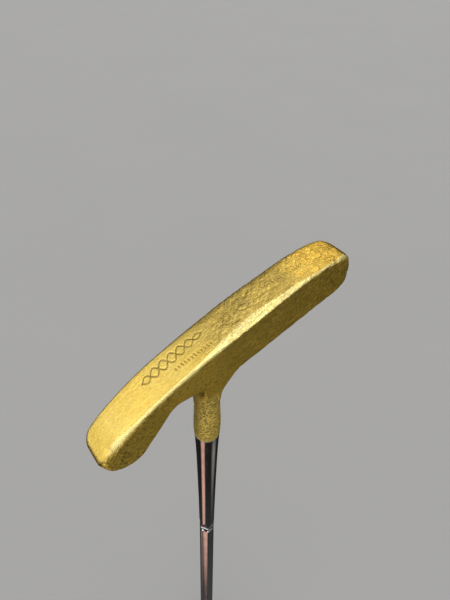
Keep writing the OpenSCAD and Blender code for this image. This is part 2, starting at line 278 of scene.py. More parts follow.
def edge_roll(x, y, z, middle):
    """How far the sole's worn front and back edges lie inside its plain curve."""
    low = smoothstep(6 * MM, 3 * MM, -sole_distance(x, z))
    at_heel = mix(7.0 * MM, 5.2 * MM, smoothstep(-42 * MM, -54 * MM, x))
    at_ends = (
        at_heel
        + 3.0 * MM * smoothstep(-57 * MM, -62 * MM, x)
        + 0.8 * MM * smoothstep(24 * MM, 44 * MM, x)
    )
    at_middle = mix(4.6 * MM, 6.0 * MM, smoothstep(8 * MM, 24 * MM, x))
    front = y - mix(at_ends, at_middle, middle)
    back = -y - mix(7.0 * MM, 5.4 * MM, smoothstep(6 * MM, 26 * MM, x) * middle)
    roll = FRONT_ROLL * (np.hypot(front, ROLL_BEND) + front) * low
    roll += BACK_ROLL * (np.hypot(back, ROLL_BEND) + back) * low
    return roll


def blade_distance(x, y, z):
    """Signed distance to the blade, whose long edges are rounder toward its ends."""
    half = SOLE_WIDTH / 2 - FACE_SLOPE * z
    across = (np.abs(y) - half) * math.cos(math.atan(FACE_SLOPE))
    past_end = np.where(x < 0, -x - HEEL, x - TOE) + END_REACH
    at_end = smoothstep(0, 1, past_end / END_FADE)
    middle = smoothstep(-22 * MM, 8 * MM, x) * (1 - smoothstep(24 * MM, 46 * MM, x))
    crown = SOLE_CROWN * (y / (SOLE_WIDTH / 2)) ** 2
    under = sole_distance(x, z) + crown + edge_roll(x, y, z, middle)
    corner = np.where(y > 0, FRONT_CORNER, BACK_CORNER)
    walls = round_max(outline_distance(x, z, BLADE), across, mix(EDGE, corner, at_end))
    rounder = mix(0.35 * MM, np.where(y > 0, -0.6 * MM, 0.2 * MM), middle)
    end = np.where(x < 0, 0.5 * MM, 1.5 * MM) * at_end
    return round_max(walls, under, EDGE + rounder + end)


def head_distance(p):
    """Signed distance to the plain head at each point of the head's frame."""
    x, y, z = p.T
    s, radial = axis_place(p)
    t = smoothstep(24 * MM, WEB_TOP, s)
    web_half = mix(SOLE_WIDTH / 2 - FACE_SLOPE * z, NECK_RADIUS - 0.2 * MM, t)
    web_side = round_max(outline_distance(x, z, WEB), s - 44 * MM, 1 * MM)
    web = round_max(web_side, np.abs(y) - web_half, mix(1.5 * MM, 5.2 * MM, t))
    neck = round_max(radial - neck_profile(s), s - RIM, 0.15 * MM)
    neck = np.maximum(neck, 12 * MM - s)
    return smooth_min(np.minimum(blade_distance(x, y, z), web), neck, WELD)


def wave_path(x0, x1, y0, y1, tall0, tall1, turns, phase):
    """A sine wave in mm that runs from one point of the sole to another."""
    t = np.linspace(0, 1, 60)
    swing = mix(tall0, tall1, t) * np.sin(np.pi * t) ** 0.35
    y = mix(y0, y1, t) + swing * np.sin(2 * np.pi * turns * t + phase)
    return np.stack([mix(x0, x1, t), y], 1) * MM


def tick_paths(x0, x1, y0, y1, count, lean, tall):
    """A row of short slanted strokes, in mm."""
    paths = []
    for t in np.linspace(0, 1, count):
        x, y = mix(x0, x1, t), mix(y0, y1, t)
        paths.append(np.array([(x - lean / 2, y - tall / 2), (x + lean / 2, y + tall / 2)]) * MM)
    return paths


def sprig_paths():
    """A curved stem with two pairs of leaves, in the sole's middle."""
    t = np.linspace(0, 1, 16)
    stem = np.stack([mix(-3.5, 14, t), mix(0.8, -4.2, t) + 1.3 * np.sin(np.pi * t)], 1)
    paths = [stem * MM]
    for i in (2, 8):
        run = stem[i + 1] - stem[i]
        run = run / np.hypot(*run)
        for side in (-1, 1):
            out = np.array([-run[1], run[0]]) * side
            tip = stem[i] + 4.8 * run + 2.8 * out
            bow = stem[i] + 1.5 * run + 2.6 * out
            back = stem[i] + 3.5 * run + 0.6 * out
            paths.append(np.array([stem[i], bow, tip, back, stem[i]]) * MM)
    return paths


ENGRAVING = (
    [wave_path(-36, -9, -2.4, -2.6, 2.5, 1.7, 3.5, phase) for phase in (0, np.pi)]
    + tick_paths(-24, -9, 2.3, 3.4, 12, 0.3, 0.9)
    + sprig_paths()
    + tick_paths(18, 36, -1.6, 0.3, 14, 0.5, 1.0)
)
# Knocks on the casting's edges: place, radius and depth, in mm.
DENTS = (
    (-37.9, -8.4, 1.6, 1.9, 0.5),
    (-26.4, -8.3, 0.9, 1.4, 0.4),
    (-5.0, -8.4, 0.6, 1.0, 0.25),
    (31.0, -8.2, 1.8, 1.3, 0.3),
    (-47.0, 7.9, 2.6, 1.5, 0.3),
    (21.5, 8.3, 1.0, 1.1, 0.25),
    (50.5, 7.0, 6.0, 2.2, 0.35),
    (-58.5, 5.5, 8.0, 2.4, 0.3),
)

STROKE_DEPTH, BLOW_DEPTH, BLOW_STRETCH = 0.12 * MM, 0.13 * MM, 5.5
BLOWS = ((0.45, 21), (-0.7, 22), (1.35, 23), (2.3, 24))  # direction in radians and noise seed of each set
PIT_DEPTH, GROOVE_DEPTH, CUT_DEPTH = 0.16 * MM, 0.12 * MM, 0.24 * MM
RIM_LINE, RIM_LINE_DEPTH = 2.2 * MM, 0.14 * MM  # the turned line's distance from the rim


def engraved_depth(p):
    """Depth of the cut strokes in the sole."""
    depth = np.zeros(len(p))
    near_sole = (np.abs(p[:, 0]) < 40 * MM) & (p[:, 2] < 4 * MM)
    spot = np.flatnonzero(near_sole & (np.abs(p[:, 1]) < 6 * MM))
    x, y = p[spot, 0], p[spot, 1]
    nearest = np.full(len(spot), 1.0)
    for path in ENGRAVING:
        low, high = path.min(0) - 1 * MM, path.max(0) + 1 * MM
        near = np.flatnonzero((x > low[0]) & (x < high[0]) & (y > low[1]) & (y < high[1]))
        nearest[near] = np.minimum(nearest[near], path_distance(x[near], y[near], path))
    depth[spot] = CUT_DEPTH * (1 - smoothstep(0.10 * MM, 0.46 * MM, nearest))
    return depth * smoothstep(-1.2 * MM, -0.4 * MM, -np.abs(sole_distance(p[:, 0], p[:, 2])))


def hammered_depth(p, on_sole, on_neck, toward_toe):
    """Depth of the wandering strokes and slanted blows, most of them toward the toe."""
    x, y, z = p.T
    drift = np.stack([noise(p, 7 * MM, seed) for seed in (11, 12, 13)], 1) * 2.2 * MM
    centre = smoothstep(-16 * MM, 0, x) * (1 - smoothstep(30 * MM, 46 * MM, x))
    ridge = np.abs(noise(p + drift, 4 * MM, 14))
    strokes = (1 - smoothstep(0.02, 0.3, ridge)) * (0.08 + 1.2 * toward_toe + 0.45 * centre)
    depth = STROKE_DEPTH * strokes * (1 - on_neck)
    for turn, seed in BLOWS:
        c, d = math.cos(turn), math.sin(turn)
        q = np.stack([(x * c + y * d) / BLOW_STRETCH, (y * c - x * d) / 1.0, z / BLOW_STRETCH], 1)
        blow = smoothstep(0.25, 0.5, noise(q + drift / 9, 1 * MM, seed))
        depth += BLOW_DEPTH * blow * on_sole * (0.03 + 0.97 * centre + 0.5 * toward_toe)
    return depth


def relief(p):
    """Depth of everything cut, struck or cast below the plain surface."""
    x, y, z = p.T
    s, radial = axis_place(p)
    on_sole = 1 - smoothstep(0.5 * MM, 2.5 * MM, -sole_distance(x, z))
    on_neck = neck_share(s, radial) * (1 - smoothstep(RIM - 2.4 * MM, RIM - 2.1 * MM, s))
    toward_toe = smoothstep(16 * MM, 48 * MM, x)
    toward_heel = 1 - smoothstep(-60 * MM, -30 * MM, x)

    depth = hammered_depth(p, on_sole, on_neck, toward_toe)
    # The casting's unevenness, and a sandy grain that is coarsest on the neck.
    depth += 0.06 * MM * noise(p, 6 * MM, 15) + 0.08 * MM
    grain = noise(p, 0.7 * MM, 16)
    depth += (0.025 - 0.018 * on_sole + 0.04 * on_neck) * MM * grain
    depth += 0.06 * MM * on_neck
    depth += 0.035 * MM * on_neck * noise(p, 0.45 * MM, 17)
    # Pits in the faces, the turned line by the rim, and a groove beside the sole's front edge.
    pits = smoothstep(0.42, 0.75, noise(p, 1.1 * MM, 18))
    depth += PIT_DEPTH * pits * (1 - on_sole) * (0.25 + 0.75 * toward_heel)
    depth += RIM_LINE_DEPTH * smoothstep(0.3 * MM, 0, np.abs(s - RIM + RIM_LINE))
    beside = smoothstep(0.5 * MM, 0.1 * MM, np.abs(y - 6.0 * MM - 0.012 * (x + 40 * MM)))
    groove = beside * on_sole * smoothstep(-56 * MM, -48 * MM, x)
    depth += GROOVE_DEPTH * groove * smoothstep(-18 * MM, -26 * MM, x)
    for dx, dy, dz, radius, deep in DENTS:
        away = np.linalg.norm(p - np.array([dx, dy, dz]) * MM, axis=1) / (radius * MM)
        depth += deep * MM * np.maximum(0, 1 - away**2) ** 2
    return depth + engraved_depth(p)


def head_surface(p):
    return head_distance(p) + relief(p)


def surface_net(distance, low, high, step):
    """Quad mesh of a distance's zero set: one point in each grid cell that it crosses."""
    axes = [np.arange(low[i], high[i] + step, step) for i in range(3)]
    shape = tuple(len(a) for a in axes)
    values = np.empty(shape)
    for i, x in enumerate(axes[0]):
        yy, zz = np.meshgrid(axes[1], axes[2], indexing="ij")
        slab = np.stack([np.full(yy.size, x), yy.ravel(), zz.ravel()], 1)
        values[i] = distance(slab).reshape(yy.shape)
    inside = values < 0
    corners = [(a, b, c) for a in (0, 1) for b in (0, 1) for c in (0, 1)]
    cells = tuple(n - 1 for n in shape)

    def at(grid, offset):
        return grid[tuple(slice(o, o + n) for o, n in zip(offset, cells))]

    count = sum(at(inside, c).astype(int) for c in corners)
    crossed = (count > 0) & (count < 8)
    index = np.full(cells, -1)
    index[crossed] = np.arange(crossed.sum())
    total, weight = np.zeros((crossed.sum(), 3)), np.zeros(crossed.sum())
    for a in corners:
        for axis in range(3):
            if a[axis]:
                continue
            b = tuple(1 if i == axis else a[i] for i in range(3))
            va, vb = at(values, a)[crossed], at(values, b)[crossed]
            cut = (va < 0) != (vb < 0)
            t = np.where(cut, va / np.where(cut, va - vb, 1), 0)
            point = np.tile(np.array(a, float), (len(t), 1))
            point[:, axis] += t
            total += point * cut[:, None]
            weight += cut
    cell = np.argwhere(crossed)
    points = np.array(low) + (cell + total / weight[:, None]) * step
    quads = []
    for axis in range(3):
        u, v = (axis + 1) % 3, (axis + 2) % 3
        span = [slice(1, n - 1) for n in shape]
        span[axis] = slice(0, shape[axis] - 1)
        ahead = list(span)
        ahead[axis] = slice(1, shape[axis])
        first, second = inside[tuple(span)], inside[tuple(ahead)]
        at_cell = np.argwhere(first != second)
        at_cell[:, u] += 1
        at_cell[:, v] += 1
        leaves = first[first != second]
        step_u, step_v = np.eye(3, dtype=int)[u], np.eye(3, dtype=int)[v]
        ring = [at_cell - step_u - step_v, at_cell - step_v, at_cell, at_cell - step_u]
        quad = np.stack([index[tuple(c.T)] for c in ring], 1)
        quads.append(np.where(leaves[:, None], quad, quad[:, ::-1]))
    return points, np.concatenate(quads)


def gradient(distance, p, reach):
    """Outward normals from four samples round each point."""
    total = np.zeros_like(p)
    for sign in ((1, -1, -1), (-1, -1, 1), (-1, 1, -1), (1, 1, 1)):
        total += np.array(sign) * distance(p + reach * np.array(sign))[:, None]
    return total / np.maximum(np.linalg.norm(total, axis=1), 1e-12)[:, None]


def settle(distance, p, rounds=3):
    """Moves points along their normals onto a distance's zero set."""
    normals = gradient(distance, p, 0.1 * MM)
    for _ in range(rounds):
        p = p - normals * distance(p)[:, None]
    return p


def subdivided(points, quads):
    """Splits each quad into four."""
    edges = np.sort(np.concatenate([quads[:, [i, (i + 1) % 4]] for i in range(4)]), 1)
    unique, which = np.unique(edges, axis=0, return_inverse=True)
    which = which.reshape(4, -1).T + len(points)
    centre = len(points) + len(unique) + np.arange(len(quads))
    everything = np.concatenate([points, points[unique].mean(1), points[quads].mean(1)])
    parts = [np.stack([quads[:, i], which[:, i], centre, which[:, i - 1]], 1) for i in range(4)]
    return everything, np.concatenate(parts)


def head_to_club(p):
    """Takes points from the head's frame, sole down, to the club's, head up."""
    v = p - np.array([-AXIS_OFFSET, 0, 0])
    along = v @ HEAD_AXIS
    across = v @ np.array([math.sin(LIE), 0, math.cos(LIE)])
    return np.stack([across, -v[:, 1], GROUND - along], 1)


def new_object(name, points, faces):
    mesh = bpy.data.meshes.new(name)
    mesh.from_pydata(np.asarray(points).tolist(), [], np.asarray(faces).tolist())
    mesh.update()
    mesh.shade_smooth()
    piece = bpy.data.objects.new(name, mesh)
    bpy.context.scene.collection.objects.link(piece)
    return piece


def add_attribute(piece, name, values):
    """Stores a number or a vector for each of a piece's vertices."""
    values = np.asarray(values, np.float32)
    kind, field = ("FLOAT", "value") if values.ndim == 1 else ("FLOAT_VECTOR", "vector")
    piece.data.attributes.new(name, kind, "POINT").data.foreach_set(field, values.ravel())


def make_head():
    """The casting: its plain shape meshed, then moved onto the cut and worn surface."""
    margin, grid = 1.5 * MM, 0.73 * MM
    low = np.array([-HEEL - margin, -SOLE_WIDTH / 2 - margin, -margin])
    high = np.array([TOE + 2 * MM, SOLE_WIDTH / 2 + margin, RIM + margin])
    points, quads = surface_net(head_distance, low, high, grid)
    points = settle(head_distance, points, 2)
    points, quads = subdivided(points, quads)
    points = settle(head_surface, settle(head_distance, points, 2))
    normals = gradient(head_surface, points, 0.12 * MM)
    plain = gradient(head_distance, points, 0.3 * MM)
    head = new_object("head_casting", head_to_club(points), quads)
    turned = head_to_club(normals + [-AXIS_OFFSET, 0, 0]) - [0, 0, GROUND]
    head.data.normals_split_custom_set_from_vertices(turned.tolist())

    # An edge is near where a point a little way in is nearer to another surface than its own.
    inner = 1.3 * MM
    convex = (head_distance(points - inner * plain) + inner) / (0.45 * MM)
    s, radial = axis_place(points)
    on_crease = smoothstep(0.17, 0.30, plain[:, 1]) * (plain[:, 2] < -0.5)
    masks = {
        "sole": smoothstep(0.25, 0.65, -plain[:, 2]),
        "worn_edge": np.clip(convex, 0, 1),
        "engraved": np.clip(engraved_depth(points) / (0.25 * MM), 0, 1),
        "neck": neck_share(s, radial),
        # Where the painted highlight goes: the crease along the sole's front.
        "crease_highlight": on_crease * smoothstep(-61 * MM, -54 * MM, points[:, 0]),
        "rim": smoothstep(RIM - 2.3 * MM, RIM - 1.9 * MM, s),
    }
    for name, values in masks.items():
        add_attribute(head, name, values)
    add_attribute(head, "cast", points / MM)
    return head


# -------------------- turned and lofted shapes


def loft(name, rings, close=True):
    """Mesh through rings of equal counts; the last ring joins the first if close is set."""
    rings = np.asarray(rings, float)
    count, around = rings.shape[:2]
    i = np.arange(count if close else count - 1)[:, None]
    j = np.arange(around)[None, :]
    after, beside = (i + 1) % count, (j + 1) % around
    quads = np.stack(
        [i * around + j, i * around + beside, after * around + beside, after * around + j], -1
    )
    return new_object(name, rings.reshape(-1, 3), quads.reshape(-1, 4))


def ring(radii, z, angles):
    """One ring: radii is a number or one radius for each angle."""
    radii = np.broadcast_to(radii, angles.shape)
    return np.stack([radii * np.cos(angles), radii * np.sin(angles), np.full(angles.shape, z)], 1)


def shaft_radius(z):
    """The tube's radius without its flutes: a plain taper, then a flare with a lip."""
    along = np.clip((z - PARALLEL_END) / (FLUTE_HIGH - PARALLEL_END), 0, 1)
    taper = mix(BUTT_RADIUS, WAIST_RADIUS, along)
    t = np.clip((z - FLUTE_HIGH) / SMOOTH_LENGTH, 0, 1)
    lip = 0.42 * MM
    flare = lip * t**14 + (FLARE_RADIUS - lip - WAIST_RADIUS) * t**2.2
    return np.where(z > FLUTE_HIGH + SMOOTH_LENGTH, TIP_RADIUS, taper + flare)


def fluted(radius, z, angles):
    """Shaft's radius at each angle, with the hollow flutes cut in."""
    chord = math.cos(FLUTE_HALF)
    share = (math.sin(FLUTE_HALF) ** 2 + (chord - FLUTE_BOTTOM) ** 2) / (2 * (chord - FLUTE_BOTTOM))
    beyond = np.maximum(FLUTE_LOW - z, z - FLUTE_HIGH)
    centre = radius * (FLUTE_BOTTOM + share) + max(beyond, 0) * math.tan(FLUTE_LEAN)
    turn = 2 * math.pi / FLUTES
    off = (angles - FLUTE_PHASE + turn / 2) % turn - turn / 2
    under = (radius * share) ** 2 - (centre * np.sin(off)) ** 2
    near = centre * np.cos(off) - np.sqrt(np.maximum(under, 0))
    return np.where(under > 0, np.minimum(near, radius), radius)


def make_shaft():
    """Fluted tube, with rings close together where the flutes and the flare end."""
    turn = 2 * math.pi / FLUTES
    in_flute = np.linspace(-FLUTE_HALF, FLUTE_HALF, 17)
    land = np.linspace(FLUTE_HALF, turn - FLUTE_HALF, 5)[1:-1]
    sector = np.concatenate([in_flute, land])
    angles = np.concatenate([FLUTE_PHASE + turn * i + sector for i in range(FLUTES)])
    low, tip = 5 * MM, GROUND - RIM
    heights = np.concatenate(
        [
            np.arange(low, FLUTE_LOW - 9 * MM, 8 * MM),
            np.arange(FLUTE_LOW - 9 * MM, FLUTE_LOW + 1 * MM, 0.5 * MM),
            np.arange(FLUTE_LOW + 1 * MM, FLUTE_HIGH - 1 * MM, 8 * MM),
            np.arange(FLUTE_HIGH - 1 * MM, FLUTE_HIGH + 10 * MM, 0.4 * MM),
            np.arange(FLUTE_HIGH + 10 * MM, tip - 20 * MM, 2.5 * MM),
            np.linspace(tip - 20 * MM, tip - 0.02 * MM, 32),
        ]
    )
    rings = [ring(fluted(shaft_radius(z), z, angles), z, angles) for z in heights]
    rings += [ring(FLARE_RADIUS, tip, angles), ring(FLARE_RADIUS - 0.04 * MM, tip, angles)]
    rings += [ring(TIP_RADIUS, tip, angles), ring(TIP_RADIUS, tip + TIP_LENGTH, angles)]
    rings.append(ring(TIP_RADIUS - TUBE_WALL, tip + TIP_LENGTH, angles))
    for z in (tip - 10 * MM, FLUTE_HIGH, PARALLEL_END, low):
        rings.append(ring(float(shaft_radius(z)) * FLUTE_BOTTOM - TUBE_WALL, z, angles))
    return loft("shaft_tube", rings)


def grip_section(z, angles):
    """Radius at each angle of the pistol grip's section at one height."""
    flat, back, half, corner, back_radius = (
        np.interp(z, GRIP_HEIGHTS, column) for column in GRIP_SECTIONS.T
    )
    circles = [
        (flat - corner, half - corner, corner),
        (flat - corner, corner - half, corner),
        (back_radius - back, 0, back_radius),
    ]
    around = all_round(720)
    reach = np.max([cx * np.cos(around) + cy * np.sin(around) + r for cx, cy, r in circles], axis=0)
    facing = np.maximum(np.cos(angles[:, None] - around), 0.1)
    return np.min(reach / facing, axis=1)


def make_leather():
    """The strip wound on the grip, with its raised turns and sunken seam."""
    angles = all_round(132)
    heights = np.arange(GRIP_LOW, GRIP_HIGH + 0.1 * MM, 0.55 * MM)
    outer, seam, along, across = [], [], [], []
    for z in heights:
        u = z / STRIP_PITCH - angles / (2 * np.pi)
        turn = np.floor(u)
        u = u - turn
        away = np.minimum(u, 1 - u) * STRIP_PITCH
        groove = 0.3 * MM * np.abs(2 * u - 1) ** 6 + 0.55 * MM * np.exp(-((away / (0.5 * MM)) ** 2))
        overlap = 0.35 * MM * u
        ends = 0.5 * MM * smoothstep(1.5 * MM, 0, min(z - GRIP_LOW, GRIP_HIGH - z))
        base = grip_section(z, angles)
        outer.append(ring(base - 0.02 * MM - groove - overlap - ends, z, angles))
        seam.append(away / MM)
        along.append((turn + angles / (2 * np.pi)) * STRIP_TURN)
        across.append(u * STRIP_PITCH / MM)
    stations = [GRIP_HIGH, 200 * MM, 150 * MM, 100 * MM, 60 * MM, GRIP_LOW]
    inner = [ring(grip_section(z, angles) - STRIP_THICKNESS, z, angles) for z in stations]
    leather = loft("leather_strip", outer + inner)
    seam, along, across = (
        np.concatenate([np.ravel(rows), np.zeros(len(angles) * len(inner))])
        for rows in (seam, along, across)
    )
    add_attribute(leather, "seam", seam)
    add_attribute(leather, "strip", np.stack([along, across, np.zeros(len(along))], 1))
    return leather


def make_collar():
    """Moulded collar with three shallow grooves."""
    radii, stations = (10.95, 11.25, 11.05, 10.15, 8.365), (248.3, 250, 256, 264, 271.4)
    outer = [(10.25, 248), (10.6, 248.02), (10.85, 248.15), (11.02, 248.5)]
    for z in np.arange(248.9, 271.2, 0.3):
        grooves = sum(math.exp(-(((z - g) / 0.35) ** 2)) for g in (252.5, 254.5, 256.5))
        outer.append((np.interp(z, stations, radii) - 0.03 - 0.3 * grooves, z))
    outer += [(8.2, 271.55), (7.95, 271.85), (7.7, 271.95), (7.37, 271.98)]
    inner = [(7.37, 264), (8.02, 263.98), (8.02, 258.02), (10.25, 258)]
    angles = all_round(96)
    return loft("collar_moulding", [ring(r * MM, z * MM, angles) for r, z in outer + inner])


def make_cap():
    """Butt cap with a rounded rim and a sunken seat for the tack."""
    angles = all_round(144)
    full = grip_section(GRIP_LOW, angles)
    hole, seat, mouth, edge, bend = 1.15 * MM, 3.62 * MM, 3.9 * MM, 1.15 * MM, 1.1 * MM
    face = 0.02 * MM
    rings = [ring(hole, 1.02 * MM, angles), ring(seat, 1.02 * MM, angles)]
    rings += [ring(seat, 0.25 * MM, angles), ring(mouth, face, angles)]
    for share in (0.35, 0.6, 0.8, 0.93, 1.0):
        rings.append(ring(mix(mouth, full - edge, share), face, angles))
    for turn in np.linspace(0.15, 1, 7) * np.pi / 2:
        rings.append(ring(full - edge + bend * np.sin(turn), 1.12 * MM - bend * np.cos(turn), angles))
    sides = ((2.0, 0.05), (3.0, 0.05), (3.6, 0.05), (3.9, 0.4), (4.3, 0.45), (4.7, 0.4), (4.98, 0.1))
    for z, inset in sides:
        rings.append(ring(full - inset * MM, z * MM, angles))
    rings.append(ring(hole, 4.98 * MM, angles))
    return loft("cap_moulding", rings)


# -------------------- materials


class Nodes:
    """Short ways to add and join the nodes of one tree."""

    def __init__(self, tree):
        self.tree = tree

    def add(self, kind, inputs=(), **settings):
        """A new shader node of one kind, with its settings and its inputs' values or links."""
        node = self.tree.nodes.new("ShaderNode" + kind)
        for key, value in settings.items():
            setattr(node, key, value)
        for key, value in dict(inputs).items():
            self.put(node.inputs[key], value)
        return node

    def put(self, socket, value):
        if isinstance(value, bpy.types.NodeSocket):
            self.tree.links.new(value, socket)
        else:
            socket.default_value = value

    def step(self, value, low, high, to_low=0.0, to_high=1.0):
        """Maps low to high onto to_low to to_high, held beyond both ends."""
        node = self.add("MapRange", interpolation_type="SMOOTHSTEP")
        for i, item in enumerate((value, low, high, to_low, to_high)):
            self.put(node.inputs[i], item)
        return node.outputs[0]


class Shader(Nodes):
    """A material's nodes, with the textures and blends that the materials share."""

    def __init__(self, name):
        self.material = bpy.data.materials.new(name)
        self.material.use_nodes = True
        super().__init__(self.material.node_tree)
        self.surface = self.tree.nodes["Principled BSDF"]
        self.normal = None

    def set(self, **values):
        for key, value in values.items():
            self.put(self.surface.inputs[key.replace("_", " ").title()], value)

    def mask(self, name):
        return self.add("Attribute", attribute_name=name).outputs["Fac"]

    def vector(self, name):
        return self.add("Attribute", attribute_name=name).outputs["Vector"]

    def millimetres(self):
        """Place on the club in millimetres."""
        place = self.add("TexCoord").outputs["Object"]
        return self.scaled(place, (1000, 1000, 1000))

    def scaled(self, vector, scale, turn=(0, 0, 0)):
        node = self.add("Mapping", {"Vector": vector, "Scale": scale, "Rotation": turn})
        return node.outputs["Vector"]

    def noise(self, vector, size, detail=3.0, rough=0.55, bend=0.0):
        """Noise from 0 to 1 whose bumps are about size across, in the vector's units."""
        inputs = {"Vector": vector, "Scale": 1 / size, "Detail": detail}
        inputs |= {"Roughness": rough, "Distortion": bend}
        return self.add("TexNoise", inputs).outputs["Fac"]

    def cells(self, vector, size, feature="F1", out="Distance"):
        inputs = {"Vector": vector, "Scale": 1 / size}
        return self.add("TexVoronoi", inputs, feature=feature).outputs[out]

    def wave(self, vector, scale, way, bend=0.0, detail=2.0):
        """Soft bands across the axis that way names."""
        inputs = {"Vector": vector, "Scale": scale, "Distortion": bend, "Detail": detail}
        return self.add("TexWave", inputs, bands_direction=way).outputs["Fac"]

    def math(self, operation, a, b=0.0):
        node = self.add("Math", operation=operation)
        self.put(node.inputs[0], a)
        self.put(node.inputs[1], b)
        return node.outputs[0]

    def times(self, a, b):
        return self.math("MULTIPLY", a, b)

    def either(self, a, b):
        """The larger of two masks."""
        return self.math("MAXIMUM", a, b)

    def inverse(self, mask):
        return self.math("SUBTRACT", 1.0, mask)

    def plus(self, a, b):
        return self.math("ADD", a, b)

    def blend(self, factor, a, b, kind="MIX"):
        """Colour a turning into b as factor goes from 0 to 1."""
        node = self.add("Mix", data_type="RGBA", blend_type=kind)
        for i, item in ((0, factor), (6, a), (7, b)):
            is_colour = isinstance(item, tuple) and len(item) == 3
            self.put(node.inputs[i], (*item, 1) if is_colour else item)
        return node.outputs[2]

    def bump(self, height, depth, strength=1.0):
        """Adds a bump whose full height is depth, in millimetres."""
        inputs = {"Height": height, "Distance": depth * MM, "Strength": strength}
        if self.normal:
            inputs["Normal"] = self.normal
        self.normal = self.add("Bump", inputs).outputs["Normal"]
        self.put(self.surface.inputs["Normal"], self.normal)

    def scratches(self, vector, turn, width, bend=1.2, scale=(0.05, 0.9, 0.9)):
        """Long thin curved lines: 1 on a scratch, 0 beside it."""
        long_way = self.scaled(vector, scale, turn)
        lines = self.noise(long_way, 1.0, 2.0, 0.5, bend)
        near = self.math("ABSOLUTE", self.math("SUBTRACT", lines, 0.5))
        return self.step(near, 0.0, width, 1.0, 0.0)


# Colours of the brass, from clean metal to grime, with a painted highlight and painted shades.
BRASS = {
    "light": (0.95, 0.70, 0.17),
    "deep": (0.88, 0.61, 0.12),
    "toe": (0.90, 0.55, 0.08),
    "face": (0.88, 0.65, 0.14),
    "neck": (1.0, 0.76, 0.18),
    "rim": (0.70, 0.54, 0.18),
    "edge": (0.98, 0.80, 0.30),
    # Painted highlight along the crease at the sole's front.
    "crease_highlight": (1.0, 0.86, 0.36),
    "tarnish": (0.46, 0.35, 0.10),
    "scratch": (0.50, 0.35, 0.08),
    "gouge": (0.40, 0.28, 0.07),
    # Painted shade on the neck's far half.
    "far_neck_shade": (0.22, 0.16, 0.045),
    # Painted shade along the sole's far edge and round the toe.
    "far_edge_shade": (0.20, 0.145, 0.04),
    "rust": (0.28, 0.10, 0.035),
    "speck": (0.14, 0.085, 0.018),
    "pit": (0.11, 0.08, 0.018),
    "cut": (0.06, 0.04, 0.012),
}


def brass_scratches(m, place, centre, toe):
    """Fine lines all over, and wider gouges on the middle and the toe."""
    first = m.scratches(place, (0.2, 0.1, 0.35), 0.05)
    second = m.scratches(place, (0.1, 0.3, -0.9), 0.04)
    lines = m.either(m.either(first, second), m.scratches(place, (0.0, 0.2, 1.7), 0.04, 2.2))
    short = (0.09, 0.42, 0.42)
    first = m.scratches(place, (0.1, 0.2, 0.8), 0.09, 1.6, short)
    gouges = m.either(first, m.scratches(place, (0.3, 0.1, -0.5), 0.07, 1.6, short))
    return lines, m.times(gouges, m.step(m.either(centre, toe), 0.0, 1.0, 0.1, 1.0))


